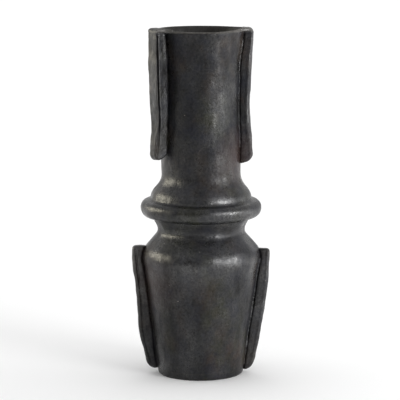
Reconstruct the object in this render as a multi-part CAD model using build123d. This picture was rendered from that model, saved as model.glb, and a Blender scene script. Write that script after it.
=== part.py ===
from build123d import *
import os

# A tall hand-built black clay vase, assembled from separately made clay pieces that are luted
# together: a tapered lower pot, a shoulder that turns in to a waist, a projecting collar, a bell,
# a tall neck with a flared lip, two slab fins on the neck and two on the lower pot.
# Millimetres, +Z up, origin at the centre of the foot on the ground, -Y is the front.

# Driving dimensions
HEIGHT = 350.0
BASE_THICKNESS = 7.0
SHOULDER_SEAM_Z = 112.0
SLOPE_SEAM_Z = 130.0
WAIST_SEAM_Z = 147.8
COLLAR_SEAM_Z = 160.0
BELL_SEAM_Z = 178.8
NECK_SEAM_Z = 206.0
RIM_SEAM_Z = 341.0
UPPER_FIN_THICKNESS = 10.0
LOWER_FIN_THICKNESS = 9.0
LUTING_RADIUS = 2.6
SEAM_COIL_HEIGHT = 4.6

# Radii where neighbouring wall pieces meet, as (inner, outer)
BASE_SEAM = (39.2, 44.4)
SHOULDER_SEAM = (52.9, 58.7)
SLOPE_SEAM = (50.4, 57.2)
WAIST_SEAM = (39.2, 44.3)
COLLAR_SEAM = (43.4, 49.2)
BELL_SEAM = (43.4, 51.6)
NECK_SEAM = (34.8, 39.8)
RIM_SEAM = (38.2, 42.6)
FOOT_RADIUS = 41.6
COLLAR_RADIUS = 61.0
COLLAR_TOP_RADIUS = 52.2
BELLY_RADIUS = 60.0
LIP_OUTER_RADIUS = 44.0
LIP_INNER_RADIUS = 41.3
LIP_CROWN_RADIUS = (LIP_OUTER_RADIUS + LIP_INNER_RADIUS) / 2
LIP_ROUNDING_Z = 348.7

# Azimuths of the fins' middle planes, in degrees anticlockwise from +X seen from above
UPPER_LEFT = 208.0
UPPER_RIGHT = 347.0
LOWER_LEFT = 185.0
LOWER_RIGHT = 358.5

# Outer edges of the fins, as (radius, height) from the bottom to the top
FIN_TOP_Z = 348.0
UPPER_LEFT_EDGE = [(54.6, 222.5), (55.0, 233), (54.0, 260), (55.4, 283), (56.4, 310), (56.7, FIN_TOP_Z)]
UPPER_RIGHT_EDGE = [(51.8, 217.5), (52.1, 230), (49.8, 252), (49.3, 281), (50.5, 311), (51.9, FIN_TOP_Z)]
LOWER_LEFT_EDGE = [(52.8, 5.7), (58.4, 25), (62.3, 41.5), (64.4, 58), (66.1, 83), (69.2, 107), (69.9, 132)]
LOWER_RIGHT_EDGE = [(50.6, 3.4), (54.9, 16), (58.4, 33), (63.1, 58), (67.0, 83), (69.6, 110), (70.2, 128.5)]
FIN_CORNER_ROUNDING = 4.0
FIN_FOOT_ROUNDING = 8.0
ARRIS_ROUNDING = 2.4

# A fin's lower edge runs in to this radius, inside the wall, and to one of these heights there
FIN_ROOT_RADIUS = 30.0
UPPER_LEFT_ROOT_Z = 235.0
UPPER_RIGHT_ROOT_Z = 210.5
LOWER_LEFT_ROOT_Z = 5.7
LOWER_RIGHT_ROOT_Z = 3.4

# Ends of the luting coils on the wall, as (radius, height), clear of the fins' rounded ends
UPPER_LUTING = ((39.8, 235.0), (42.0, 338.0))
LOWER_LUTING = ((45.0, 12.0), (59.4, 116.0))


STANDING = (Align.CENTER, Align.CENTER, Align.MIN)

# The filled pot's revolve starts at the back, so that its surfaces' seam is clear of the fins
REVOLVE_START = 90.0


def point(radius, height):
    """A point of the profile, in the XZ plane."""
    return Vector(radius, 0, height)


def straight(first, last):
    """A straight profile line between two (radius, height) stations."""
    return Line(point(*first), point(*last))


def arc(first, middle, last):
    """A profile arc through three (radius, height) stations."""
    return ThreePointArc(point(*first), point(*middle), point(*last))


def foot_outside():
    """The rounded foot edge and the first millimetres of the wall's outside."""
    rounding_top = (43.9, 3.2)
    return [
        arc((FOOT_RADIUS, 0), (43.2, 1.0), rounding_top),
        straight(rounding_top, (BASE_SEAM[1], BASE_THICKNESS)),
    ]


def lower_outside():
    return [straight((BASE_SEAM[1], BASE_THICKNESS), (SHOULDER_SEAM[1], SHOULDER_SEAM_Z))]


def shoulder_outside():
    return [arc((SHOULDER_SEAM[1], SHOULDER_SEAM_Z), (BELLY_RADIUS, 120.5), (SLOPE_SEAM[1], SLOPE_SEAM_Z))]


def waist_outside():
    """The slope inwards and the lower half of the waist's hollow."""
    slope_end = (46.2, 143.0)
    return [
        straight((SLOPE_SEAM[1], SLOPE_SEAM_Z), slope_end),
        arc(slope_end, (44.8, 145.3), (WAIST_SEAM[1], WAIST_SEAM_Z)),
    ]


def flare_outside():
    """The upper half of the waist's hollow and the flare under the collar."""
    flare_start = (45.6, 153.4)
    return [
        arc((WAIST_SEAM[1], WAIST_SEAM_Z), (44.6, 150.7), flare_start),
        straight(flare_start, (COLLAR_SEAM[1], COLLAR_SEAM_Z)),
    ]


def collar_outside():
    """The underside, the rounded edge and the gently sloping top of the collar."""
    under_edge = (55.2, 161.6)
    widest = (COLLAR_RADIUS, 169.2)
    over_edge = (57.4, 177.6)
    return [
        straight((COLLAR_SEAM[1], COLLAR_SEAM_Z), under_edge),
        arc(under_edge, (59.4, 164.6), widest),
        arc(widest, (60.3, 174.4), over_edge),
        straight(over_edge, (COLLAR_TOP_RADIUS, BELL_SEAM_Z)),
    ]


def bell_outside():
    turn = (46.0, 191.2)
    return [
        arc((BELL_SEAM[1], BELL_SEAM_Z), (49.7, 186.0), turn),
        arc(turn, (41.5, 197.6), (NECK_SEAM[1], NECK_SEAM_Z)),
    ]


def neck_outside():
    flare_start = (40.4, 303.0)
    return [
        straight((NECK_SEAM[1], NECK_SEAM_Z), flare_start),
        arc(flare_start, (41.2, 323.0), (RIM_SEAM[1], RIM_SEAM_Z)),
    ]


def rim_outside():
    """The outside of the lip and its rounded top edge, over to the inside."""
    outside_top = (LIP_OUTER_RADIUS, LIP_ROUNDING_Z)
    inside_top = (LIP_INNER_RADIUS, LIP_ROUNDING_Z)
    return [
        straight((RIM_SEAM[1], RIM_SEAM_Z), outside_top),
        arc(outside_top, (LIP_CROWN_RADIUS, HEIGHT), inside_top),
    ]


def ring(outside, inside):
    """A wall piece turned from its outer and inner profile edges, both listed from the bottom up."""
    bottom = Line(inside[0].start_point(), outside[0].start_point())
    edges = [bottom, *outside, *inside]
    if (outside[-1].end_point() - inside[-1].end_point()).length > 1e-6:
        edges.append(Line(outside[-1].end_point(), inside[-1].end_point()))
    return revolve(make_face(edges), Axis.Z)


def filled_pot():
    """The whole pot with no hollow inside: the tool that shapes everything luted to the outside."""
    outside = [
        *foot_outside(),
        *lower_outside(),
        *shoulder_outside(),
        *waist_outside(),
        *flare_outside(),
        *collar_outside(),
        straight((COLLAR_TOP_RADIUS, BELL_SEAM_Z), (BELL_SEAM[1], BELL_SEAM_Z)),
        *bell_outside(),
        *neck_outside(),
        *rim_outside(),
    ]
    edges = [
        *outside,
        straight((LIP_INNER_RADIUS, LIP_ROUNDING_Z), (0, LIP_ROUNDING_Z)),
        straight((0, LIP_ROUNDING_Z), (0, 0)),
        straight((0, 0), (FOOT_RADIUS, 0)),
    ]
    plug_height = 2 * (HEIGHT - RIM_SEAM_Z)
    mouth_plug = Cylinder(LIP_CROWN_RADIUS, plug_height, align=STANDING)
    pot = revolve(make_face(edges), Axis.Z) + Pos(0, 0, RIM_SEAM_Z) * mouth_plug
    return Rot(0, 0, REVOLVE_START) * pot


def base_disc():
    edges = [
        straight((0, 0), (FOOT_RADIUS, 0)),
        *foot_outside(),
        straight((BASE_SEAM[1], BASE_THICKNESS), (0, BASE_THICKNESS)),
        straight((0, BASE_THICKNESS), (0, 0)),
    ]
    return revolve(make_face(edges), Axis.Z)


def lower_wall():
    inside = [straight((BASE_SEAM[0], BASE_THICKNESS), (SHOULDER_SEAM[0], SHOULDER_SEAM_Z))]
    return ring(lower_outside(), inside)


def base_seam_coil():
    """The coil pressed into the inside corner between the base and the wall."""
    corner = point(BASE_SEAM[0], BASE_THICKNESS)
    up_the_wall = point(SHOULDER_SEAM[0], SHOULDER_SEAM_Z) - corner
    on_wall = corner + up_the_wall.normalized() * SEAM_COIL_HEIGHT
    on_base = corner - Vector(SEAM_COIL_HEIGHT, 0, 0)
    belly = (on_wall + on_base) * 0.5 + Vector(-0.6, 0, 0.6)
    edges = [Line(on_base, corner), Line(corner, on_wall), ThreePointArc(on_wall, belly, on_base)]
    return revolve(make_face(edges), Axis.Z)


def shoulder_coil():
    slope_start = (52.6, 127.4)
    inside = [
        arc((SHOULDER_SEAM[0], SHOULDER_SEAM_Z), (54.6, 119.6), slope_start),
        straight(slope_start, (SLOPE_SEAM[0], SLOPE_SEAM_Z)),
    ]
    return ring(shoulder_outside(), inside)


def waist_coil():
    slope_end = (41.4, 140.6)
    inside = [
        straight((SLOPE_SEAM[0], SLOPE_SEAM_Z), slope_end),
        arc(slope_end, (39.8, 143.9), (WAIST_SEAM[0], WAIST_SEAM_Z)),
    ]
    return ring(waist_outside(), inside)


def waist_flare():
    flare_start = (40.4, 153.8)
    inside = [
        arc((WAIST_SEAM[0], WAIST_SEAM_Z), (39.5, 150.9), flare_start),
        straight(flare_start, (COLLAR_SEAM[0], COLLAR_SEAM_Z)),
    ]
    return ring(flare_outside(), inside)


def collar_ring():
    inside = [straight((COLLAR_SEAM[0], COLLAR_SEAM_Z), (BELL_SEAM[0], BELL_SEAM_Z))]
    return ring(collar_outside(), inside)


def bell_skirt():
    turn = (40.6, 188.4)
    inside = [
        arc((BELL_SEAM[0], BELL_SEAM_Z), (42.7, 184.0), turn),
        arc(turn, (36.3, 196.0), (NECK_SEAM[0], NECK_SEAM_Z)),
    ]
    return ring(bell_outside(), inside)


def neck_tube():
    flare_start = (35.4, 303.0)
    inside = [
        straight((NECK_SEAM[0], NECK_SEAM_Z), flare_start),
        arc(flare_start, (36.4, 323.0), (RIM_SEAM[0], RIM_SEAM_Z)),
    ]
    return ring(neck_outside(), inside)


def rim_coil():
    inside = [straight((RIM_SEAM[0], RIM_SEAM_Z), (LIP_INNER_RADIUS, LIP_ROUNDING_Z))]
    return ring(rim_outside(), inside)


def slab(edge, root_z, thickness, azimuth):
    """A radial slab of clay with the given outer edge, rounded corners and rounded arrises."""
    bottom, top = edge[0], edge[-1]
    outline = make_face(
        [
            Spline(*[point(*station) for station in edge]),
            straight(top, (FIN_ROOT_RADIUS, top[1])),
            straight((FIN_ROOT_RADIUS, top[1]), (FIN_ROOT_RADIUS, root_z)),
            straight((FIN_ROOT_RADIUS, root_z), bottom),
        ]
    )
    foot_corner = outline.vertices().sort_by_distance(point(*bottom))[0]
    outline = fillet(foot_corner, FIN_FOOT_ROUNDING)
    top_corner = outline.vertices().sort_by_distance(point(*top))[0]
    outline = fillet(top_corner, FIN_CORNER_ROUNDING)
    solid = extrude(outline, thickness / 2, dir=(0, 1, 0), both=True)
    arrises = [
        arris
        for side in solid.faces().filter_by(Axis.Y)
        for arris in side.edges()
        if arris.center().X > FIN_ROOT_RADIUS + 1
    ]
    return Rot(0, 0, azimuth) * fillet(arrises, ARRIS_ROUNDING)


def upper_left_fin(pot):
    return slab(UPPER_LEFT_EDGE, UPPER_LEFT_ROOT_Z, UPPER_FIN_THICKNESS, UPPER_LEFT) - pot


def upper_right_fin(pot):
    return slab(UPPER_RIGHT_EDGE, UPPER_RIGHT_ROOT_Z, UPPER_FIN_THICKNESS, UPPER_RIGHT) - pot


def lower_left_fin(pot):
    return slab(LOWER_LEFT_EDGE, LOWER_LEFT_ROOT_Z, LOWER_FIN_THICKNESS, LOWER_LEFT) - pot


def lower_right_fin(pot):
    return slab(LOWER_RIGHT_EDGE, LOWER_RIGHT_ROOT_Z, LOWER_FIN_THICKNESS, LOWER_RIGHT) - pot


def luting_coil(first, last, offset, azimuth):
    """A thin straight coil of clay along the wall, offset sideways from a fin's middle plane."""
    low = Vector(first[0], offset, first[1])
    high = Vector(last[0], offset, last[1])
    along = high - low
    coil = Cylinder(LUTING_RADIUS, along.length, align=STANDING)
    return Rot(0, 0, azimuth) * (Plane(origin=low, z_dir=along) * coil)


def luting(pot, fin, ends, thickness, azimuth):
    """The two coils smeared into the corners between a fin and the wall, one along each side."""
    coils = [luting_coil(*ends, offset, azimuth) for offset in (thickness / 2, -thickness / 2)]
    return Compound([solid for coil in coils for solid in (coil - fin - pot).solids()])


def upper_luting(pot, fin, azimuth):
    return luting(pot, fin, UPPER_LUTING, UPPER_FIN_THICKNESS, azimuth)


def lower_luting(pot, fin, azimuth):
    return luting(pot, fin, LOWER_LUTING, LOWER_FIN_THICKNESS, azimuth)


def sub_parts():
    """Every piece of the pot under the name of its node."""
    pot = filled_pot()
    parts = {
        "base_disc": base_disc(),
        "lower_wall": lower_wall(),
        "base_seam_coil": base_seam_coil(),
        "shoulder_coil": shoulder_coil(),
        "waist_coil": waist_coil(),
        "waist_flare": waist_flare(),
        "collar_ring": collar_ring(),
        "bell_skirt": bell_skirt(),
        "neck_tube": neck_tube(),
        "rim_coil": rim_coil(),
        "upper_left_fin": upper_left_fin(pot),
        "upper_right_fin": upper_right_fin(pot),
        "lower_left_fin": lower_left_fin(pot),
        "lower_right_fin": lower_right_fin(pot),
    }
    parts["upper_left_luting"] = upper_luting(pot, parts["upper_left_fin"], UPPER_LEFT)
    parts["upper_right_luting"] = upper_luting(pot, parts["upper_right_fin"], UPPER_RIGHT)
    parts["lower_left_luting"] = lower_luting(pot, parts["lower_left_fin"], LOWER_LEFT)
    parts["lower_right_luting"] = lower_luting(pot, parts["lower_right_fin"], LOWER_RIGHT)
    return parts


os.makedirs("parts", exist_ok=True)
for name, shape in sub_parts().items():
    export_step(shape, f"parts/{name}.step")
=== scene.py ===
import math

import bpy
import numpy as np
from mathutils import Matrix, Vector
from mathutils.bvhtree import BVHTree


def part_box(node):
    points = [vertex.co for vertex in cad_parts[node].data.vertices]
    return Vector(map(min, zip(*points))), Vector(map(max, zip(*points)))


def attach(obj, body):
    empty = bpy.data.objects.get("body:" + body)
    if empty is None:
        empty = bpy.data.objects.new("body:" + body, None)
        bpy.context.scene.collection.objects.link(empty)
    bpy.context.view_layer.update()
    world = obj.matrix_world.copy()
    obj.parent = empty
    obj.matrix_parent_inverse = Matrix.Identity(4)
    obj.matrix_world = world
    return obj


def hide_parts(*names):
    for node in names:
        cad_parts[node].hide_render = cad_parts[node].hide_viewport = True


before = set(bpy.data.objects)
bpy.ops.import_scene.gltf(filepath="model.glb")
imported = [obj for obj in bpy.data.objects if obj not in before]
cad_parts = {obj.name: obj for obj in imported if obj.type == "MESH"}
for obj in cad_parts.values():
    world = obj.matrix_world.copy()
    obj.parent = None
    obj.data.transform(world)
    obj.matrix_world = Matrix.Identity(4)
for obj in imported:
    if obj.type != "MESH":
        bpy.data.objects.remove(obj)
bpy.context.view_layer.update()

# A hand-built black clay vase. Every wall piece follows the outline of the CAD pieces with the
# slight unevenness of hand work, and the fins and their luting coils are modelled as soft clay
# solids. Metres, +Z up, -Y is the front.

MM = 0.001
BODY = "root"

# The pieces that make up the turned wall, from the ground up
WALL_NODES = [
    "base_disc",
    "lower_wall",
    "shoulder_coil",
    "waist_coil",
    "waist_flare",
    "collar_ring",
    "bell_skirt",
    "neck_tube",
    "rim_coil",
]

# How many points go round the axis, and how far apart they are along the outside, along the inside
# and on the base
SEGMENTS = 320
OUTSIDE_STEP = 1.0 * MM
INSIDE_STEP = 2.4 * MM
BASE_RING_STEP = 3.0 * MM

# How far apart and how long the rays are that read the CAD's outline
TRACE_STEP = 0.1 * MM
RAY_REACH = 0.3

# The pot's height and the seam under the collar
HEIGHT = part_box("rim_coil")[1].z
COLLAR_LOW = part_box("collar_ring")[0].z


# ---------------------------------------------------------------- noise and outlines


def waves(points, size, seed, count=16, stretch=1.0):
    """Smooth noise around zero with a spread of about 0.5, from plane waves of about this size.

    points is (n, 3); stretch above 1 draws the pattern out along Z.
    """
    source = np.random.RandomState(seed)
    scaled = points * np.array([1.0, 1.0, 1.0 / stretch])
    total = np.zeros(len(points))
    for _ in range(count):
        direction = source.normal(size=3)
        direction /= np.linalg.norm(direction)
        frequency = 2 * math.pi / (size * source.uniform(0.7, 1.6))
        total += np.sin(scaled @ direction * frequency + source.uniform(0, 2 * math.pi))
    return total / math.sqrt(2 * count)


def wall_tree():
    """The CAD wall pieces as one surface for ray casting."""
    corners, faces = [], []
    for name in WALL_NODES:
        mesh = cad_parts[name].data
        first = len(corners)
        corners.extend(v.co.copy() for v in mesh.vertices)
        faces.extend([first + i for i in p.vertices] for p in mesh.polygons)
    return BVHTree.FromPolygons(corners, faces)


def traced(tree, heights, start_x, direction_x):
    """(radius, height) where level rays from start_x first meet the wall."""
    found = []
    for z in heights:
        hit = tree.ray_cast(Vector((start_x, 0, z)), Vector((direction_x, 0, 0)), RAY_REACH)[0]
        if hit is not None:
            found.append((hit.x, hit.z))
    return np.array(found)


def resampled(line, step):
    """The polyline with points every step along its length, both ends kept."""
    lengths = np.r_[0, np.cumsum(np.hypot(*np.diff(line, axis=0).T))]
    count = max(2, int(round(lengths[-1] / step)) + 1)
    places = np.linspace(0, lengths[-1], count)
    return np.column_stack([np.interp(places, lengths, line[:, i]) for i in range(2)])


def softened(line, reach, step):
    """The evenly spaced polyline smoothed over about reach, with its ends kept in place."""
    spread = reach / step
    pad = int(3 * spread)
    offsets = np.arange(-pad, pad + 1)
    weights = np.exp(-0.5 * (offsets / spread) ** 2)
    weights /= weights.sum()
    columns = []
    for column in line.T:
        before = 2 * column[0] - column[pad:0:-1]
        after = 2 * column[-1] - column[-2:-pad - 2:-1]
        columns.append(np.convolve(np.r_[before, column, after], weights, "valid"))
    return np.column_stack(columns)


def outline_between(line, low, high):
    """The stretch of an outline from one height to another, with exact end points."""
    ends = [(np.interp(z, line[:, 1], line[:, 0]), z) for z in (low, high)]
    inside = line[(line[:, 1] > low + 0.3 * TRACE_STEP) & (line[:, 1] < high - 0.3 * TRACE_STEP)]
    return np.vstack([ends[0], inside, ends[1]])


# Softening of the outline's corners, and the depth and reach of the line pressed in under the collar
SOFTENING = 1.3 * MM
CREASE_DEPTH = 0.35 * MM
CREASE_REACH = 0.6 * MM

# Clay smeared into the corner between collar and bell
FILLET_DEPTH = 0.25 * MM
FILLET_REACH = 1.8 * MM
FILLET_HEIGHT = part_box("bell_skirt")[0].z

# How far the hand-built lower wall is hollow between foot and shoulder
HOLLOW_DEPTH = 0.6 * MM
HOLLOW_CENTRE = 0.066
HOLLOW_REACH = 0.034


def outside_outline(tree):
    """The outside from foot to lip as the stretches below and above the seam under the collar."""
    heights = np.arange(0.5 * TRACE_STEP, HEIGHT, TRACE_STEP)
    raw = traced(tree, heights, RAY_REACH / 2, -1)
    parts = []
    for low, high in ((0, COLLAR_LOW), (COLLAR_LOW, HEIGHT)):
        part = raw[(raw[:, 1] > low) & (raw[:, 1] < high)]
        fine = resampled(part, TRACE_STEP)
        parts.append(softened(fine, SOFTENING, TRACE_STEP))
    below, above = parts
    below[:, 0] -= HOLLOW_DEPTH * np.exp(-(((below[:, 1] - HOLLOW_CENTRE) / HOLLOW_REACH) ** 2))
    above[:, 0] += FILLET_DEPTH * np.exp(-(((above[:, 1] - FILLET_HEIGHT) / FILLET_REACH) ** 2))
    below[:, 0] -= CREASE_DEPTH * np.exp(-(((COLLAR_LOW - below[:, 1]) / CREASE_REACH) ** 2))
    return below, above


def inside_outline(tree):
    """The inside from the floor of the pot to the lip."""
    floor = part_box("base_disc")[1].z
    heights = np.arange(floor + 0.5 * TRACE_STEP, HEIGHT, TRACE_STEP)
    raw = traced(tree, heights, 0.0, 1)
    return softened(resampled(raw, TRACE_STEP), SOFTENING, TRACE_STEP)


# ---------------------------------------------------------------- the hand of the potter

# How uneven the clay is: each is (size, height, seed, stretch along Z)
HAND_WORK = [
    (110 * MM, 0.75 * MM, 11, 1.6),
    (34 * MM, 0.40 * MM, 12, 1.3),
    (13 * MM, 0.15 * MM, 13, 1.6),
    (5 * MM, 0.035 * MM, 14, 2.5),
]

# How much of that the inside of the wall and the finger-pressed coil over the base get
INSIDE_SHARE = 0.6
SEAM_COIL_SHARE = 3.0

# How far from a seam the clay stays unworn, and over how much more the wear comes in
SEAM_UNWORN = 1.5 * MM
SEAM_FADE = 3 * MM

# The rim rises a little at the back and towards the upper fins
RIM_LIFT_FROM = HEIGHT - 28 * MM
RIM_LIFT_BACK = 0.5 * MM
RIM_LIFT_SPREAD = math.radians(38)
RIM_LIFTS_AT_FINS = [(math.radians(208), 1.0 * MM), (math.radians(350), 2.0 * MM)]


def hand_offset(points):
    """How far the clay stands out from the true outline at each point."""
    return sum(
        height * waves(points, size, seed, stretch=stretch) for size, height, seed, stretch in HAND_WORK
    )


def smoothstep(value):
    """From 0 at 0 to 1 at 1, level at both ends."""
    part = np.clip(value, 0, 1)
    return part * part * (3 - 2 * part)


def rim_lift(angle):
    """How much higher than the CAD the rim is at each angle round the pot."""
    lift = RIM_LIFT_BACK * smoothstep(0.5 + 0.5 * np.sin(angle))
    for place, height in RIM_LIFTS_AT_FINS:
        apart = (angle - place + math.pi) % (2 * math.pi) - math.pi
        lift = lift + height * np.exp(-((apart / RIM_LIFT_SPREAD) ** 2))
    return lift


def swept(loop, thickness_fade):
    """Points of a closed (radius, height) loop swept round the axis, with hand unevenness.

    thickness_fade is from 0 to 1 for each loop point: how much of the unevenness it gets.
    """
    angles = np.arange(SEGMENTS) * 2 * math.pi / SEGMENTS
    radius = np.repeat(loop[:, 0], SEGMENTS)
    height = np.repeat(loop[:, 1], SEGMENTS)
    angle = np.tile(angles, len(loop))
    points = np.column_stack([radius * np.cos(angle), radius * np.sin(angle), height])
    offset = hand_offset(points) * np.repeat(thickness_fade, SEGMENTS)
    wider = np.clip(radius + offset, 0, None)
    points[:, 0] = wider * np.cos(angle)
    points[:, 1] = wider * np.sin(angle)
    share = smoothstep((height - RIM_LIFT_FROM) / (HEIGHT - RIM_LIFT_FROM))
    points[:, 2] += rim_lift(angle) * share
    return points


# ---------------------------------------------------------------- meshes


def make_piece(
    name, points, faces, material, nodes, inside=None, open_to_wear=None, sharp_rows=()
):
    """A smooth-shaded mesh piece that rides on the body and stands for CAD nodes.

    inside is 1 for each point on the hollow side of the wall, where the clay is left raw, and
    open_to_wear is 0 for each point at a hidden seam, where no hand or shelf has rubbed it.
    """
    mesh = bpy.data.meshes.new(name)
    mesh.from_pydata(points.tolist(), [], faces)
    mesh.update()
    mesh.polygons.foreach_set("use_smooth", [True] * len(mesh.polygons))
    hidden = mesh.attributes.new("inside", "FLOAT", "POINT")
    hidden.data.foreach_set("value", np.zeros(len(points)) if inside is None else inside)
    rubbed = mesh.attributes.new("open_to_wear", "FLOAT", "POINT")
    rubbed.data.foreach_set("value", np.ones(len(points)) if open_to_wear is None else open_to_wear)
    if len(sharp_rows):
        ends = np.zeros(2 * len(mesh.edges), int)
        mesh.edges.foreach_get("vertices", ends)
        rows = ends.reshape(-1, 2) // SEGMENTS
        sharp = (rows[:, 0] == rows[:, 1]) & np.isin(rows[:, 0], sharp_rows)
        marks = mesh.attributes.new("sharp_edge", "BOOLEAN", "EDGE")
        marks.data.foreach_set("value", sharp)
    mesh.materials.append(material)
    piece = bpy.data.objects.new(name, mesh)
    bpy.context.scene.collection.objects.link(piece)
    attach(piece, BODY)
    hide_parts(*nodes)
    return piece


def ring_faces(rows):
    """Quads of a loop of rows swept round the axis, closed both ways."""
    faces = []
    for row in range(rows):
        above = (row + 1) % rows
        for i in range(SEGMENTS):
            j = (i + 1) % SEGMENTS
            lower_edge = (row * SEGMENTS + i, row * SEGMENTS + j)
            upper_edge = (above * SEGMENTS + j, above * SEGMENTS + i)
            faces.append(lower_edge + upper_edge)
    return faces


def wall_piece(node, outside, inside, material):
    """One turned wall piece between its two seams."""
    low, high = (corner.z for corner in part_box(node))
    outer = resampled(outline_between(outside, low, high), OUTSIDE_STEP)
    inner = resampled(outline_between(inside, low, high), INSIDE_STEP)[::-1]
    loop = np.vstack([outer, inner])
    fade = np.r_[np.ones(len(outer)), np.full(len(inner), INSIDE_SHARE)]
    hollow_side = np.repeat(np.r_[np.zeros(len(outer)), np.ones(len(inner))], SEGMENTS)
    corners = [0, len(loop) - 1]
    from_seam = loop[:, 1] - low
    if high < HEIGHT - MM:
        corners += [len(outer) - 1, len(outer)]
        from_seam = np.minimum(from_seam, high - loop[:, 1])
    open_to_wear = np.repeat(smoothstep((from_seam - SEAM_UNWORN) / SEAM_FADE), SEGMENTS)
    points = swept(loop, fade)
    faces = ring_faces(len(loop))
    return make_piece(
        node + "_clay", points, faces, material, [node],
        inside=hollow_side, open_to_wear=open_to_wear, sharp_rows=corners,
    )


def base_piece(outside, material):
    """The base disc: flat below, rounded at the foot's edge, and raw clay on top."""
    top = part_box("base_disc")[1].z
    outer = resampled(outline_between(outside, 0, top), OUTSIDE_STEP)
    radii = np.arange(BASE_RING_STEP, outer[0, 0] - BASE_RING_STEP / 2, BASE_RING_STEP)
    below = np.column_stack([radii, np.zeros(len(radii))])
    above = np.column_stack([radii[::-1], np.full(len(radii), top)])
    loop = np.vstack([below, outer, above])
    fade = np.r_[np.zeros(len(below)), np.ones(len(outer)), np.zeros(len(above))]
    points = swept(loop, fade)
    last_row = (len(loop) - 1) * SEGMENTS
    faces = [face for face in ring_faces(len(loop)) if max(face) - min(face) < last_row]
    low_pole, high_pole = len(points), len(points) + 1
    points = np.vstack([points, [0, 0, 0], [0, 0, top]])
    for i in range(SEGMENTS):
        j = (i + 1) % SEGMENTS
        faces.append((low_pole, j, i))
        faces.append((high_pole, last_row + i, last_row + j))
    hollow_side = (points[:, 2] > top - 1e-6).astype(float)
    open_to_wear = smoothstep((top - points[:, 2] - SEAM_UNWORN) / SEAM_FADE)
    corners = [len(below) - 1, len(below), len(below) + len(outer) - 1]
    return make_piece(
        "base_disc_clay", points, faces, material, ["base_disc"],
        inside=hollow_side, open_to_wear=open_to_wear, sharp_rows=corners,
    )


def seam_coil_piece(material):
    """The finger-pressed coil in the inside corner over the base."""
    low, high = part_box("base_seam_coil")
    radius, reach = high.x, high.z - low.z
    turn = np.linspace(0, math.pi / 2, 9)
    curve = np.column_stack([radius - reach * np.cos(turn), low.z + reach * np.sin(turn)])
    loop = np.vstack([[radius, low.z], curve])
    fade = np.r_[0, 0, np.full(len(curve) - 2, SEAM_COIL_SHARE), 0]
    points = swept(loop, fade)
    faces = [face[::-1] for face in ring_faces(len(loop))]
    return make_piece(
        "base_seam_coil_clay", points, faces, material, ["base_seam_coil"],
        inside=np.ones(len(points)),
    )


# ---------------------------------------------------------------- soft solids for fins and coils


def rounded_max(a, b, radius):
    """The intersection of two distances with a round corner."""
    corner = np.hypot(np.maximum(a + radius, 0), np.maximum(b + radius, 0))
    return np.minimum(np.maximum(a, b), -radius) + corner


def smooth_min(a, b, reach):
    """The union of two distances with a fillet of about reach."""
    blend = np.maximum(reach - np.abs(a - b), 0) / reach
    return np.minimum(a, b) - blend * blend * reach / 4


def zero_surface(distance, low, high, step):
    """The closed surface where distance(points) is zero inside a box, as points and quads.

    Each grid cell that the surface passes through gets one point, at the middle of the places
    where the surface crosses its edges, and each crossed grid edge gets the quad round it.
    """
    counts = [int(math.ceil((high[i] - low[i]) / step)) + 1 for i in range(3)]
    axes = [low[i] + step * np.arange(counts[i]) for i in range(3)]
    grid = np.stack(np.meshgrid(*axes, indexing="ij"), axis=-1)
    values = distance(grid.reshape(-1, 3)).reshape(counts)
    inside = values < 0
    cells = tuple(n - 1 for n in counts)
    total = np.zeros(cells + (3,))
    crossings = np.zeros(cells)
    for axis in range(3):
        others = [i for i in range(3) if i != axis]
        for a in (0, 1):
            for b in (0, 1):
                start = [slice(0, n) for n in cells]
                start[others[0]] = slice(a, cells[others[0]] + a)
                start[others[1]] = slice(b, cells[others[1]] + b)
                end = list(start)
                end[axis] = slice(1, cells[axis] + 1)
                v0, v1 = values[tuple(start)], values[tuple(end)]
                crossed = (v0 < 0) != (v1 < 0)
                share = np.where(crossed, v0 / np.where(crossed, v0 - v1, 1), 0)
                place = np.zeros(cells + (3,))
                place[..., axis] = share
                place[..., others[0]] = a
                place[..., others[1]] = b
                total += place * crossed[..., None]
                crossings += crossed
    active = crossings > 0
    number = np.full(cells, -1)
    number[active] = np.arange(active.sum())
    corner = np.argwhere(active)
    points = np.array(low) + step * (corner + total[active] / crossings[active][:, None])
    faces = []
    for axis in range(3):
        others = [i for i in range(3) if i != axis]
        start = [slice(1, n - 1) for n in counts]
        start[axis] = slice(0, counts[axis] - 1)
        end = list(start)
        end[axis] = slice(1, counts[axis])
        crossed = inside[tuple(start)] != inside[tuple(end)]
        rising = inside[tuple(start)][crossed]
        place = np.argwhere(crossed)
        place[:, others[0]] += 1
        place[:, others[1]] += 1
        corners = []
        for a, b in ((0, 0), (1, 0), (1, 1), (0, 1)):
            cell = place.copy()
            cell[:, others[0]] -= a
            cell[:, others[1]] -= b
            corners.append(number[cell[:, 0], cell[:, 1], cell[:, 2]])
        quads = np.column_stack(corners)
        turned = rising if axis == 1 else ~rising
        quads[turned] = quads[turned][:, ::-1]
        faces.append(quads)
    points = settled(distance, points, step)
    return points, np.vstack(faces).tolist()


def settled(distance, points, step, rounds=3):
    """Points moved on to the zero surface along the distance's slope."""
    probe = 0.2 * step
    for _ in range(rounds):
        here = distance(points)
        slope = np.column_stack(
            [
                (distance(points + probe * axis) - distance(points - probe * axis)) / (2 * probe)
                for axis in np.eye(3)
            ]
        )
        size = np.maximum((slope * slope).sum(axis=1), 0.25)
        move = -(here / size)[:, None] * slope
        length = np.linalg.norm(move, axis=1)
        move *= np.minimum(1, 0.6 * step / np.maximum(length, 1e-9))[:, None]
        points = points + move
    return points


# ---------------------------------------------------------------- fins

# Grid step of the fins' surfaces and the room round each CAD fin
FIN_STEP = 0.6 * MM
FIN_MARGIN = 12 * MM

# How deep a fin's root sits in the wall, and the rounding of its end there
ROOT_DEPTH = 2.2 * MM
ROOT_ROUNDING = 1.5 * MM

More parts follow.
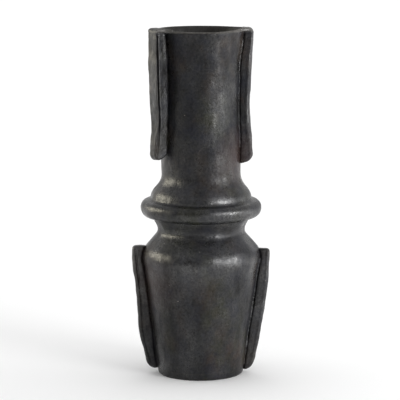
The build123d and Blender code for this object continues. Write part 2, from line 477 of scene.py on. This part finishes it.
# The CAD fin's outer edge is read at this step, clear of its rounded ends by this much, and its
# slope at the foot is taken over this many steps
EDGE_STEP = 0.5 * MM
EDGE_CLEAR = 12 * MM
EDGE_RUN = 16

# How much of the front's grooves a fin's back has
BACK_SHARE = 0.4

# How far in from the outer edge a fin starts to widen, and how quickly the flare of its edge fades
WIDENING_REACH = 15 * MM
FLARE_REACH = 2.2 * MM

# Where a fin's foot has curled up by its full amount, and how far out the top of an upper fin
# keeps rising
FOOT_REACH = 15 * MM
HORN_REACH = 8 * MM

# The cap that joins an upper fin to the rim: its thickness, how soft its lower edge is, how far it
# stands out over the fin's sides, and how much and how quickly it widens towards the rim
CAP_THICKNESS = 4.2 * MM
CAP_EDGE = 1.4 * MM
CAP_OUT = 0.9 * MM
CAP_FLARE = 7.0 * MM
CAP_REACH = 2.6 * MM

# Unevenness of the fins: (size, height, seed)
FIN_WORK = [(30 * MM, 0.55 * MM, 31), (10 * MM, 0.20 * MM, 32), (4 * MM, 0.06 * MM, 33)]


def along(heights, values):
    """A value that changes with height, smoothly between the given stations."""

    def at(up):
        place = np.interp(up, heights, np.arange(len(heights)))
        whole = np.clip(place.astype(int), 0, len(heights) - 2)
        part = smoothstep(place - whole)
        table = np.array(values, float)
        return table[whole] * (1 - part) + table[whole + 1] * part

    return at


def along_mm(heights, lengths):
    """along for lengths in millimetres."""
    return along(heights, np.array(lengths) * MM)


class Wall:
    """The outside of the pot as a distance, positive outside."""

    def __init__(self, outline):
        order = np.argsort(outline[:, 1], kind="stable")
        self.heights = outline[order, 1]
        self.radii = outline[order, 0]

    def distance(self, points):
        """How far each point is outside the wall's uneven surface."""
        radius = np.hypot(points[:, 0], points[:, 1])
        on_wall = points.copy()
        base = np.interp(points[:, 2], self.heights, self.radii)
        scale = base / np.maximum(radius, 1e-6)
        on_wall[:, 0] *= scale
        on_wall[:, 1] *= scale
        return radius - base - hand_offset(on_wall)


class Fin:
    """A radial slab of clay with a rolled outer edge, a groove beside it and a cut-in root.

    azimuth is in degrees anticlockwise from +X seen from above, front is the side that looks
    forwards (1 is anticlockwise), and ahead and behind are how far the slab reaches to its front
    and back side. These change with the height: turn is the twist in degrees, rounding the radius
    of the outer arrises, groove and crevice the depths of the groove beside the rolled edge and of
    the line at the wall, outward how much further out the outer edge is than in the CAD, widening
    how much further the front side stands out at the outer edge than at the wall, and flare how
    much the last few millimetres add to that. foot_rise is the slope of the foot and foot_curl how
    far it has curled up at the wall. A fin with horn above zero ends in a cap that runs on from
    the rim and rises outwards by that much.
    """

    def __init__(self, node, wall, azimuth, front, ahead, behind, low, high, **shape):
        self.node = node
        self.wall = wall
        self.azimuth = azimuth
        self.front = front
        self.ahead = ahead
        self.behind = behind
        self.low = low
        self.high = high
        self.horn = shape["horn"]
        self.outward = shape["outward"]
        self.widening = shape["widening"]
        self.flare = shape["flare"]
        self.foot_curl = shape["foot_curl"]
        self.foot_rise = shape["foot_rise"]
        self.foot_rounding = shape["foot_rounding"]
        self.top_rounding = shape["top_rounding"]
        self.turn = shape["turn"]
        self.rounding = shape["rounding"]
        self.groove_place = shape["groove_place"]
        self.groove_width = shape["groove_width"]
        self.groove = shape["groove"]
        self.crevice = shape["crevice"]
        self.crevice_width = shape["crevice_width"]
        cad_low, cad_high = (corner.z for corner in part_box(node))
        self.edge = self.outer_edge(cad_low + EDGE_CLEAR, cad_high - EDGE_CLEAR)

    def outer_edge(self, low, high):
        """The CAD fin's outer edge in its middle plane, as (heights, radii).

        The rounded ends are left out, and below them the edge runs straight on.
        """
        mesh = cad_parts[self.node].data
        corners = [v.co.copy() for v in mesh.vertices]
        tree = BVHTree.FromPolygons(corners, [list(p.vertices) for p in mesh.polygons])
        angle = math.radians(self.azimuth)
        out = Vector((math.cos(angle), math.sin(angle), 0))
        heights, radii = [], []
        for z in np.arange(low, high, EDGE_STEP):
            hit = tree.ray_cast(out * RAY_REACH / 2 + Vector((0, 0, z)), -out, RAY_REACH / 2)[0]
            if hit is not None:
                heights.append(z)
                radii.append(hit.xy.length)
        slope = (radii[EDGE_RUN] - radii[0]) / (EDGE_RUN * EDGE_STEP)
        heights.insert(0, heights[0] - EDGE_CLEAR)
        radii.insert(0, radii[0] - slope * EDGE_CLEAR)
        return np.array(heights), np.array(radii)

    def placed(self, points):
        """Points as outwards, towards the front and up, in the fin's own twisted frame."""
        up = points[:, 2]
        angle = np.radians(self.azimuth + self.turn(up))
        out = points[:, 0] * np.cos(angle) + points[:, 1] * np.sin(angle)
        side = points[:, 1] * np.cos(angle) - points[:, 0] * np.sin(angle)
        return out, side * self.front, up

    def distance(self, points):
        """How far each point is outside the fin's clay, which here runs on into the wall."""
        out, side, up = self.placed(points)
        off_wall = self.wall.distance(points)
        inward = np.interp(up, *self.edge) + self.outward(up) - out
        rise = self.foot_rise * inward + self.foot_curl * (np.maximum(inward, 0) / FOOT_REACH) ** 3
        top = self.high + self.horn * smoothstep(off_wall / HORN_REACH)
        outline = rounded_max(-inward, up - top, self.top_rounding)
        outline = rounded_max(outline, self.low + rise - up, self.foot_rounding)
        groove = self.groove(up) * np.exp(-(((inward - self.groove_place) / self.groove_width) ** 2))
        crevice = self.crevice(up) * np.exp(-((np.maximum(off_wall, 0) / self.crevice_width) ** 2))
        wide = self.widening(up) * np.clip(1 - inward / WIDENING_REACH, 0, 1)
        wide = wide + self.flare(up) * np.exp(-np.maximum(inward, 0) / FLARE_REACH)
        ahead = side - self.ahead - wide + groove + crevice
        behind = -side - self.behind + BACK_SHARE * (groove + crevice)
        if self.horn > 0:
            in_cap = smoothstep((up - top + CAP_THICKNESS) / CAP_EDGE)
            spread = in_cap * (CAP_OUT + CAP_FLARE * np.exp(-np.maximum(off_wall, 0) / CAP_REACH))
            ahead = ahead - spread
            behind = behind - spread
        slab = rounded_max(outline, np.maximum(ahead, behind), self.rounding(up))
        return slab + sum(height * waves(points, size, seed) for size, height, seed in FIN_WORK)

    def rooted(self, points):
        """The fin with its root a little inside the wall."""
        too_deep = -(self.wall.distance(points) + ROOT_DEPTH)
        return rounded_max(self.distance(points), too_deep, ROOT_ROUNDING)


def make_fins(wall):
    """The four fins.

    What changes along a fin is given at a few heights from its foot to its top, which are the same
    for both upper fins and for both lower ones.
    """
    upper = np.array([222, 240, 262, 320, 345, 347.5]) * MM
    lower = np.array([4, 25, 70, 118, 130]) * MM
    none = along(lower, [0, 0, 0, 0, 0])
    return {
        "upper_left": Fin(
            "upper_left_fin", wall, azimuth=208, front=1, ahead=6.8 * MM, behind=5 * MM,
            low=220.5 * MM, high=HEIGHT + 1.4 * MM,
            horn=1.7 * MM, foot_curl=6 * MM, foot_rise=0.10, foot_rounding=7 * MM, top_rounding=4 * MM,
            outward=along_mm(upper, [-0.4, -0.3, 0.2, 1.0, 1.1, 1.1]),
            widening=along_mm(upper, [0.4, 1.4, 3.0, 3.2, 3.2, 3.0]),
            flare=along_mm(upper, [0, 0.6, 2.0, 2.4, 2.4, 1.6]),
            turn=along(upper, [-1.6, -1.2, 0.8, 2.0, 2.0, 2.0]),
            rounding=along_mm(upper, [2.4, 2.0, 1.3, 1.2, 1.2, 1.6]),
            groove_place=2.7 * MM, groove_width=1.1 * MM,
            groove=along_mm(upper, [0.4, 1.6, 3.4, 4.0, 3.2, 0]),
            crevice=along_mm(upper, [2.0, 2.6, 3.2, 3.4, 3.2, 0.3]),
            crevice_width=1.2 * MM,
        ),
        "upper_right": Fin(
            "upper_right_fin", wall, azimuth=347, front=-1, ahead=5 * MM, behind=5 * MM,
            low=219.8 * MM, high=HEIGHT + 2.3 * MM,
            horn=0.7 * MM, foot_curl=0, foot_rise=-0.3, foot_rounding=6 * MM, top_rounding=6.5 * MM,
            outward=along_mm(upper, [0.5, 0, 0.8, 0.8, 0.9, 0.9]),
            widening=none, flare=none,
            turn=along(upper, [7, 5, 0, 0, 5, 6]),
            rounding=along_mm(upper, [3.4, 3.2, 3.0, 2.6, 1.8, 1.6]),
            groove_place=4.6 * MM, groove_width=1.6 * MM,
            groove=along_mm(upper, [0.1, 0.2, 0.2, 0.2, 0.1, 0.1]),
            crevice=along_mm(upper, [1.2, 1.6, 2.2, 2.0, 1.6, 0.3]),
            crevice_width=1.1 * MM,
        ),
        "lower_left": Fin(
            "lower_left_fin", wall, azimuth=185, front=1, ahead=4.5 * MM, behind=4.5 * MM,
            low=5.2 * MM, high=132.0 * MM,
            horn=0, foot_curl=0, foot_rise=0.0, foot_rounding=8 * MM, top_rounding=4 * MM,
            outward=along_mm(lower, [1.7, 1.1, 0, 0, 0]), widening=none, flare=none,
            turn=along(lower, [1.5, -1, 0.5, 1, 0]),
            rounding=along_mm(lower, [3.4, 3.6, 3.8, 4.0, 3.0]),
            groove_place=4.3 * MM, groove_width=1.2 * MM,
            groove=along_mm(lower, [0.3, 0.7, 1.1, 1.6, 0.4]),
            crevice=along_mm(lower, [0.8, 1.2, 1.6, 2.0, 1.4]),
            crevice_width=1.6 * MM,
        ),
        "lower_right": Fin(
            "lower_right_fin", wall, azimuth=358.5, front=-1, ahead=4.5 * MM, behind=4.5 * MM,
            low=3.0 * MM, high=128.5 * MM,
            horn=0, foot_curl=0, foot_rise=0.0, foot_rounding=8 * MM, top_rounding=4 * MM,
            outward=along_mm(lower, [0, 0.6, 0, 0, 0]), widening=none, flare=none,
            turn=along(lower, [-1, 1, 0, -1, 0.5]),
            rounding=along_mm(lower, [3.0, 3.2, 3.4, 3.4, 2.6]),
            groove_place=4.6 * MM, groove_width=1.4 * MM,
            groove=along_mm(lower, [0.1, 0.2, 0.2, 0.2, 0.1]),
            crevice=along_mm(lower, [1.2, 1.8, 2.2, 2.2, 1.0]),
            crevice_width=1.4 * MM,
        ),
    }


def around(node, margin):
    """The lowest and highest corner of a CAD node's box with room round it."""
    low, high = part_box(node)
    return [c - margin for c in low], [c + margin for c in high]


def fin_piece(fin, material):
    """One fin as a closed mesh."""
    points, faces = zero_surface(fin.rooted, *around(fin.node, FIN_MARGIN), FIN_STEP)
    return make_piece(fin.node + "_clay", points, faces, material, [fin.node])


# How deep the luting clay sits in the fin and the wall, how thick its hidden skin is, how far it
# runs past the CAD coil's ends, how those are rounded, and the room round the CAD coil
LUTING_SINK = 0.15 * MM
LUTING_SKIN = 0.9 * MM
LUTING_END = 3 * MM
LUTING_ROUNDING = 1 * MM
LUTING_MARGIN = 6 * MM

# Unevenness of the smeared clay: (size, share, seed), and how far that moves the raised line and
# how softly the line joins the rest
LUTING_WORK = [(14 * MM, 1.0, 41), (5 * MM, 0.6, 42)]
BEAD_WANDER = 0.4 * MM
BEAD_BLEND = 0.8 * MM

# How far the smear comes out of the corner in front and behind, and where its raised line runs and
# how thick that is, at the fins on each side of the pot
LUTING_SHAPES = {
    "left": (1.0 * MM, 3.0 * MM, 0.6 * MM, 0.3 * MM),
    "right": (1.4 * MM, 3.0 * MM, 2.0 * MM, 0.9 * MM),
}


def luting_piece(node, fin, material, front_reach, back_reach, bead_out, bead_radius):
    """The clay smeared into the corners between a fin and the wall.

    front_reach and back_reach are how far the smear comes out of the corner on each side, and
    bead_out and bead_radius describe the raised line that a finger left beside it on the wall.
    """
    low, high = (corner.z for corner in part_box(node))

    def distance(points):
        to_fin = fin.distance(points)
        to_wall = fin.wall.distance(points)
        side = fin.placed(points)[1]
        reach = np.where(side > 0, front_reach, back_reach)
        uneven = sum(share * waves(points, size, seed) for size, share, seed in LUTING_WORK)
        fillet = smooth_min(to_fin + LUTING_SINK, to_wall + LUTING_SINK, reach * (1 + 0.25 * uneven))
        place = bead_out + BEAD_WANDER * uneven
        bead = np.hypot(to_fin - place, to_wall) - bead_radius * (1 + 0.4 * uneven)
        body = smooth_min(fillet, bead, BEAD_BLEND)
        corner = np.maximum(to_fin - reach - bead_out - bead_radius, to_wall - reach)
        span = np.maximum(points[:, 2] - high - LUTING_END, low - LUTING_END - points[:, 2])
        inner = np.maximum(-(to_fin + LUTING_SKIN), -(to_wall + LUTING_SKIN))
        return rounded_max(np.maximum(np.maximum(body, corner), inner), span, LUTING_ROUNDING)

    points, faces = zero_surface(distance, *around(node, LUTING_MARGIN), FIN_STEP)
    return make_piece(
        node + "_clay", points, faces, material, [node],
        open_to_wear=np.zeros(len(points)),
    )


# ---------------------------------------------------------------- materials


def node_of(tree, kind, **inputs):
    """A shader node with its inputs set by name, where a socket links and a value is stored."""
    node = tree.nodes.new(kind)
    for name, value in inputs.items():
        socket = node.inputs[name.replace("_", " ")]
        if isinstance(value, bpy.types.NodeSocket):
            tree.links.new(value, socket)
        else:
            socket.default_value = value
    return node


def noise(tree, where, scale, detail=4.0, roughness=0.55):
    """Noise between 0 and 1, with scale in patches a metre."""
    node = node_of(
        tree, "ShaderNodeTexNoise", Vector=where, Scale=scale, Detail=detail, Roughness=roughness
    )
    return node.outputs[0]


def remapped(tree, value, low, high, to_low, to_high):
    """The value from low to high brought to the range from to_low to to_high, and kept in it."""
    node = node_of(tree, "ShaderNodeMapRange", Value=value)
    for socket, number in zip(node.inputs[1:5], (low, high, to_low, to_high), strict=True):
        socket.default_value = number
    return node.outputs[0]


def mixed_colour(tree, amount, first, second):
    """The first colour where amount is 0 and the second where it is 1."""
    node = tree.nodes.new("ShaderNodeMix")
    node.data_type = "RGBA"
    tree.links.new(amount, node.inputs["Factor"])
    for socket, colour in ((node.inputs[6], first), (node.inputs[7], second)):
        if isinstance(colour, bpy.types.NodeSocket):
            tree.links.new(colour, socket)
        else:
            socket.default_value = (*colour, 1.0)
    return node.outputs[2]


def stretched(tree, where, factor):
    """The position squeezed along Z, so that a pattern runs up the pot."""
    node = node_of(tree, "ShaderNodeMapping", Vector=where)
    node.inputs["Scale"].default_value = (1.0, 1.0, 1.0 / factor)
    return node.outputs[0]


def computed(tree, operation, first, second, third=None):
    """A math node over sockets and numbers."""
    node = tree.nodes.new("ShaderNodeMath")
    node.operation = operation
    for socket, value in zip(node.inputs, (first, second, third), strict=False):
        if isinstance(value, bpy.types.NodeSocket):
            tree.links.new(value, socket)
        elif value is not None:
            socket.default_value = value
    return node.outputs[0]


def near(tree, where, centre, reach):
    """1 at a place on the pot, falling to 0 at reach from it."""
    node = tree.nodes.new("ShaderNodeVectorMath")
    node.operation = "DISTANCE"
    tree.links.new(where, node.inputs[0])
    node.inputs[1].default_value = centre
    return remapped(tree, node.outputs["Value"], 0.0, reach, 1.0, 0.0)


def hairlines(tree, where, scale, seed_shift):
    """Thin wandering lines, 1 on each line, broken up along their length."""
    moved = node_of(tree, "ShaderNodeMapping", Vector=where)
    moved.inputs["Location"].default_value = (seed_shift, 0.0, seed_shift)
    field = noise(tree, moved.outputs[0], scale, 1.0)
    away = computed(tree, "ABSOLUTE", computed(tree, "SUBTRACT", field, 0.5), 0.0)
    line = remapped(tree, away, 0.0015, 0.004, 1.0, 0.0)
    broken = remapped(tree, noise(tree, moved.outputs[0], scale * 2.1, 2.0), 0.56, 0.66, 0.0, 1.0)
    return computed(tree, "MULTIPLY", line, broken)


# The clay's colours, and the pale colour painted along the lip as a highlight
BLACK = (0.0075, 0.0072, 0.0074)
BROWN = (0.034, 0.023, 0.016)
RUST = (0.062, 0.030, 0.022)
OLIVE = (0.023, 0.024, 0.012)
SLATE = (0.013, 0.014, 0.020)
DUST = (0.22, 0.20, 0.18)
WORN = (0.060, 0.055, 0.048)
# Pale colour painted along the outside of the lip as a highlight
LIP_HIGHLIGHT_PAINT = (0.17, 0.16, 0.145)
RAW = (0.022, 0.020, 0.018)

# Where the firing left reddish clay: on the left of the shoulder and at the right of the neck
RUST_PLACES = [((-0.050, -0.028, 0.098), 0.040), ((0.036, -0.018, 0.225), 0.034)]

# The range of the clay's reflectance, from smoky patches to well burnished ones
SHEEN_LOW = 0.20
SHEEN_HIGH = 0.53

# The heights over which the painted highlight along the outside of the lip comes in
LIP_HIGHLIGHT_HEIGHTS = (HEIGHT - 1.8 * MM, HEIGHT - 0.4 * MM)

# The heights over which the burnishing of the full forms, shoulder, collar and bell, comes in and
# fades out, and how much more they mirror
POLISHED_BANDS = [((0.095, 0.118), (0.142, 0.152)), ((0.160, 0.165), (0.190, 0.207))]
POLISH_GAIN = 1.8

# Spots that a hand has rubbed brighter still, on the bell's foot and on the shoulder, with the reach
# of each, and how much more they mirror
BURNISHED_PLACES = [((0.021, -0.046, 0.182), 0.018), ((0.028, -0.052, 0.124), 0.020)]
PLACE_GAIN = 1.9


def attribute_of(tree, name):
    """A value stored on the mesh's points."""
    node = tree.nodes.new("ShaderNodeAttribute")
    node.attribute_name = name
    return node.outputs["Fac"]


class Patterns:
    """The patterns on the clay that its colour, gloss and relief share."""

    def __init__(self, tree):
        self.tree = tree
        self.where = tree.nodes.new("ShaderNodeTexCoord").outputs["Object"]
        self.tall = stretched(tree, self.where, 1.8)
        self.height = node_of(tree, "ShaderNodeSeparateXYZ", Vector=self.where).outputs["Z"]
        self.inside = attribute_of(tree, "inside")
        self.cloud = noise(tree, self.where, 62.0, 6.0, 0.68)
        self.sheen = noise(tree, self.tall, 40.0, 5.0, 0.62)
        self.mottle = noise(tree, self.where, 420.0, 5.0, 0.7)
        self.strokes = noise(tree, stretched(tree, self.where, 9.0), 480.0, 3.0)
        self.scratches = hairlines(tree, stretched(tree, self.where, 2.0), 34.0, 3.0)
        self.wear = self.worn_arrises()
        self.polished = self.polished_bands()

    def clouded(self, low):
        """From low to 1, where the smoke's clouds let a tint or wear through."""
        return remapped(self.tree, self.cloud, 0.35, 0.6, low, 1.0)

    def worn_arrises(self):
        """1 on rubbed convex edges that are open to wear."""
        convex = self.tree.nodes.new("ShaderNodeNewGeometry").outputs["Pointiness"]
        edges = remapped(self.tree, convex, 0.515, 0.56, 0.0, 1.0)
        wear = computed(self.tree, "MULTIPLY", edges, attribute_of(self.tree, "open_to_wear"))
        return computed(self.tree, "MULTIPLY", wear, self.clouded(0.2))

    def painted_lip_highlight(self):
        """Up to 0.8 along the outside of the lip, in patches: where a highlight is painted."""
        outside = computed(self.tree, "SUBTRACT", 1.0, self.inside)
        lip = remapped(self.tree, self.height, *LIP_HIGHLIGHT_HEIGHTS, 0.0, 0.8)
        lip = computed(self.tree, "MULTIPLY", lip, outside)
        return computed(self.tree, "MULTIPLY", lip, self.clouded(0.4))

    def polished_bands(self):
        """1 on the burnished full forms."""
        polished = 0.0
        for rise, fall in POLISHED_BANDS:
            start = remapped(self.tree, self.height, *rise, 0.0, 1.0)
            end = remapped(self.tree, self.height, *fall, 1.0, 0.0)
            polished = computed(self.tree, "ADD", computed(self.tree, "MULTIPLY", start, end), polished)
        return polished

    def burnished_places(self):
        """1 in the middle of each spot that a hand has rubbed brighter."""
        rubbed = 0.0
        for centre, reach in BURNISHED_PLACES:
            rubbed = computed(self.tree, "ADD", near(self.tree, self.where, centre, reach), rubbed)
        return rubbed

    def rust(self):
        """1 where the clay is reddish: in small patches all over and at the rust places."""
        rust = remapped(self.tree, noise(self.tree, self.tall, 17.0, 5.0, 0.6), 0.60, 0.72, 0.0, 0.6)
        for centre, reach in RUST_PLACES:
            place = near(self.tree, self.where, centre, reach)
            spot = computed(self.tree, "MULTIPLY", place, self.clouded(0.2))
            rust = computed(self.tree, "MAXIMUM", rust, spot)
        return rust

    def specks(self):
        """Small pale dots, here and there."""
        dots = node_of(self.tree, "ShaderNodeTexVoronoi", Vector=self.where, Scale=80.0)
        shapes = remapped(self.tree, dots.outputs["Distance"], 0.03, 0.06, 1.0, 0.0)
        places = remapped(self.tree, noise(self.tree, self.where, 90.0, 1.0), 0.56, 0.60, 0.0, 0.9)
        return computed(self.tree, "MULTIPLY", shapes, places)


def clay_colour(tree, patterns):
    """Black clay with brown, olive, rust and slate tints, worn edges, scratches, specks and a painted
    highlight along the lip.
    """
    brown = remapped(tree, noise(tree, patterns.tall, 30.0, 4.0, 0.6), 0.50, 0.70, 0.0, 0.6)
    olive = remapped(tree, noise(tree, patterns.tall, 23.0, 4.0, 0.6), 0.52, 0.68, 0.0, 0.6)
    slate = remapped(tree, patterns.cloud, 0.42, 0.68, 0.0, 0.8)
    colour = mixed_colour(tree, brown, BLACK, BROWN)
    for amount, share, tint in (
        (olive, 1.0, OLIVE),
        (patterns.rust(), 0.8, RUST),
        (slate, 1.0, SLATE),
        (patterns.wear, 0.6, WORN),
        # a highlight painted along the outside of the lip
        (patterns.painted_lip_highlight(), 0.5, LIP_HIGHLIGHT_PAINT),
        (patterns.scratches, 0.1, DUST),
        (patterns.specks(), 1.0, DUST),
        (patterns.inside, 1.0, RAW),
    ):
        colour = mixed_colour(tree, computed(tree, "MULTIPLY", amount, share), colour, tint)
    return colour


def clay_roughness(tree, patterns, gloss_low, gloss_high):
    """Between the smoothest and the dullest patches, changed by strokes, sheen, wear and polish."""
    dull = remapped(tree, patterns.cloud, 0.34, 0.66, gloss_low, gloss_high)
    dull = computed(tree, "ADD", dull, remapped(tree, patterns.strokes, 0.3, 0.7, -0.05, 0.06))
    dull = computed(tree, "ADD", dull, remapped(tree, patterns.sheen, 0.35, 0.65, -0.05, 0.10))
    dull = computed(tree, "ADD", dull, remapped(tree, patterns.mottle, 0.35, 0.65, -0.05, 0.05))
    dull = computed(tree, "MULTIPLY_ADD", patterns.wear, -0.08, dull)
    dull = computed(tree, "MULTIPLY_ADD", patterns.polished, -0.05, dull)
    return computed(tree, "MULTIPLY_ADD", patterns.inside, 0.2, dull)


def clay_reflectance(tree, patterns, reflectance):
    """How strongly the clay mirrors: least in smoky patches and most where it is burnished."""
    level = remapped(tree, patterns.sheen, 0.34, 0.64, SHEEN_HIGH, SHEEN_LOW)
    for factor in (
        remapped(tree, patterns.cloud, 0.35, 0.65, 1.18, 0.80),
        remapped(tree, patterns.mottle, 0.33, 0.67, 0.62, 1.42),
        remapped(tree, patterns.polished, 0.0, 1.0, reflectance, POLISH_GAIN * reflectance),
        remapped(tree, patterns.burnished_places(), 0.0, 1.0, 1.0, PLACE_GAIN),
    ):
        level = computed(tree, "MULTIPLY", level, factor)
    return level


def clay_relief(tree, patterns):
    """Burnishing strokes, grain, soft lumps, mottling and scratches as a height."""
    relief = noise(tree, patterns.where, 1300.0, 3.0, 0.6)
    relief = computed(tree, "MULTIPLY_ADD", patterns.strokes, 0.8, relief)
    relief = computed(tree, "MULTIPLY_ADD", noise(tree, patterns.where, 150.0, 3.0), 3.4, relief)
    relief = computed(tree, "MULTIPLY_ADD", patterns.mottle, 1.8, relief)
    return computed(tree, "MULTIPLY_ADD", patterns.scratches, -0.4, relief)


def clay_material(name, gloss_low, gloss_high, bump, reflectance=1.0):
    """Smoke-fired black clay: patchy tints and sheen, burnishing strokes, specks, worn edges and a
    highlight painted along the lip.

    gloss_low and gloss_high are the roughness of the smoothest and dullest patches, bump is the
    strength of the relief, and reflectance scales how strongly the burnished skin mirrors.
    """
    material = bpy.data.materials.new(name)
    material.use_nodes = True
    tree = material.node_tree
    tree.nodes.clear()
    patterns = Patterns(tree)
    relief = clay_relief(tree, patterns)
    bumped = node_of(tree, "ShaderNodeBump", Height=relief, Strength=bump, Distance=0.5 * MM)
    shader = node_of(
        tree,
        "ShaderNodeBsdfPrincipled",
        Base_Color=clay_colour(tree, patterns),
        Roughness=clay_roughness(tree, patterns, gloss_low, gloss_high),
        Normal=bumped.outputs[0],
        Specular_IOR_Level=clay_reflectance(tree, patterns, reflectance),
    )
    output = tree.nodes.new("ShaderNodeOutputMaterial")
    tree.links.new(shader.outputs[0], output.inputs[0])
    return material


def floor_material():
    """Plain pale seamless paper."""
    material = bpy.data.materials.new("floor_paper")
    material.use_nodes = True
    shader = material.node_tree.nodes["Principled BSDF"]
    shader.inputs["Base Color"].default_value = (0.90, 0.90, 0.90, 1)
    shader.inputs["Roughness"].default_value = 0.9
    shader.inputs["Specular IOR Level"].default_value = 0.1
    return material


# ---------------------------------------------------------------- camera, light and floor

# The camera stands in front of the pot and looks down by CAMERA_PITCH degrees
CAMERA_DISTANCE = 2.108
CAMERA_HEIGHT = 0.506
CAMERA_PITCH = 8.86
CAMERA_SHIFT_X = -0.001
CAMERA_LENS = 189.8


def make_camera():
    """The camera that sees the pot as the photo does."""
    camera = bpy.data.cameras.new("camera")
    camera.lens = CAMERA_LENS
    camera.sensor_width = 36.0
    camera.clip_start = 0.05
    camera.clip_end = 60.0
    holder = bpy.data.objects.new("camera", camera)
    holder.location = (CAMERA_SHIFT_X, -CAMERA_DISTANCE, CAMERA_HEIGHT)
    holder.rotation_euler = (math.radians(90 - CAMERA_PITCH), 0, 0)
    bpy.context.scene.collection.objects.link(holder)
    bpy.context.scene.camera = holder


# Studio lights as (azimuth in degrees to the right of the front, elevation, distance), and their
# widths and heights
KEY_PLACE = (50.0, 10.0, 2.0)
KEY_SIZE = (0.75, 0.6)
FILL_PLACE = (-97.0, 15.5, 2.0)
FILL_SIZE = (1.7, 0.6)
CARD_PLACE = (76.0, 3.0, 1.15)
CARD_SIZE = (1.64, 0.55)
WARM = (1.0, 0.94, 0.77)
NEUTRAL = (1.0, 1.0, 1.0)


def around_pot(azimuth, elevation, distance):
    """A place around the middle of the pot."""
    across = distance * math.cos(math.radians(elevation))
    x = across * math.sin(math.radians(azimuth))
    y = -across * math.cos(math.radians(azimuth))
    return Vector((x, y, HEIGHT / 2 + distance * math.sin(math.radians(elevation))))


def area_light(name, place, target, size, radiance, colour=NEUTRAL):
    """A soft rectangular light of the given brightness, left out of the camera's own view."""
    light = bpy.data.lights.new(name, "AREA")
    light.shape = "RECTANGLE"
    light.size, light.size_y = size
    light.energy = radiance * math.pi * size[0] * size[1]
    light.color = colour
    holder = bpy.data.objects.new(name, light)
    holder.location = place
    holder.rotation_euler = (Vector(target) - Vector(place)).to_track_quat("-Z", "Y").to_euler()
    holder.visible_camera = False
    bpy.context.scene.collection.objects.link(holder)
    return holder


# Brightness of the room at the horizon and overhead, of the backdrop, and of the lights
HORIZON = 0.14
ZENITH = 0.50
BACKDROP = 0.48
OVERHEAD = 0.80
KEY = 18.0
FILL = 6.7
CARD = 1.45

# The light over the floor behind the pot: its middle and its size
OVERHEAD_PLACE = (0, 3.9, 1.7)
OVERHEAD_SIZE = (9.0, 8.6)


def make_world():
    """A dim room, a little lighter overhead, with a pale backdrop behind the pot."""
    world = bpy.data.worlds.new("studio")
    world.use_nodes = True
    tree = world.node_tree
    where = tree.nodes.new("ShaderNodeTexCoord").outputs["Generated"]
    split = node_of(tree, "ShaderNodeSeparateXYZ", Vector=where)
    height = split.outputs["Z"]
    room = remapped(tree, height, 0.1, 0.6, HORIZON, ZENITH)
    behind = remapped(tree, split.outputs["Y"], 0.1, 0.6, 0.0, BACKDROP)
    backdrop = computed(tree, "MULTIPLY", behind, remapped(tree, height, 0.25, 0.7, 1.0, 0.0))
    strength = computed(tree, "ADD", room, backdrop)
    background = tree.nodes["Background"]
    background.inputs["Color"].default_value = (1, 1, 1, 1)
    tree.links.new(strength, background.inputs["Strength"])
    bpy.context.scene.world = world


def make_light():
    """The room, a light over the floor, and the lights that shape the pot."""
    make_world()
    middle = (0, 0, HEIGHT / 2)
    under = (OVERHEAD_PLACE[0], OVERHEAD_PLACE[1], 0)
    overhead = area_light("overhead", OVERHEAD_PLACE, under, OVERHEAD_SIZE, OVERHEAD)
    overhead.visible_glossy = False
    area_light("key", around_pot(*KEY_PLACE), middle, KEY_SIZE, KEY)
    fill = area_light("fill", around_pot(*FILL_PLACE), middle, FILL_SIZE, FILL, WARM)
    fill.visible_diffuse = False
    area_light("card", around_pot(*CARD_PLACE), middle, CARD_SIZE, CARD)
    bpy.context.scene.view_settings.view_transform = "Standard"


FLOOR_WIDTH = 28.0


def make_floor():
    """A wide level floor of seamless paper."""
    half = FLOOR_WIDTH / 2
    corners = [(-half, -half, 0), (half, -half, 0), (half, half, 0), (-half, half, 0)]
    mesh = bpy.data.meshes.new("floor")
    mesh.from_pydata(corners, [], [(0, 1, 2, 3)])
    mesh.materials.append(floor_material())
    floor = bpy.data.objects.new("floor", mesh)
    bpy.context.scene.collection.objects.link(floor)


# ---------------------------------------------------------------- making everything

# How far below the top the wall that the fins meet ends, where the lip is rounded
LIP_ROUNDING = 2.0 * MM


def make_pot():
    """The turned wall, the base with its coil, and the fins with their luting."""
    wall_clay = clay_material("burnished_wall", gloss_low=0.26, gloss_high=0.43, bump=0.25)
    fin_clay = clay_material(
        "burnished_fin", gloss_low=0.28, gloss_high=0.46, bump=0.32, reflectance=1.5
    )
    luting_clay = clay_material(
        "smeared_clay", gloss_low=0.36, gloss_high=0.52, bump=0.40, reflectance=1.3
    )
    raw_clay = clay_material("raw_clay", gloss_low=0.55, gloss_high=0.75, bump=0.6)

    cad_wall = wall_tree()
    below, above = outside_outline(cad_wall)
    inner = inside_outline(cad_wall)
    for node in WALL_NODES[1:]:
        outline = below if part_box(node)[0].z < COLLAR_LOW - MM else above
        wall_piece(node, outline, inner, wall_clay)

    base_piece(below, wall_clay)
    seam_coil_piece(raw_clay)

    pot_wall = Wall(np.vstack([below, above[above[:, 1] < HEIGHT - LIP_ROUNDING]]))
    for place, fin in make_fins(pot_wall).items():
        fin_piece(fin, fin_clay)
        luting_piece(place + "_luting", fin, luting_clay, *LUTING_SHAPES[place.split("_")[1]])


make_camera()
make_light()
make_floor()
make_pot()
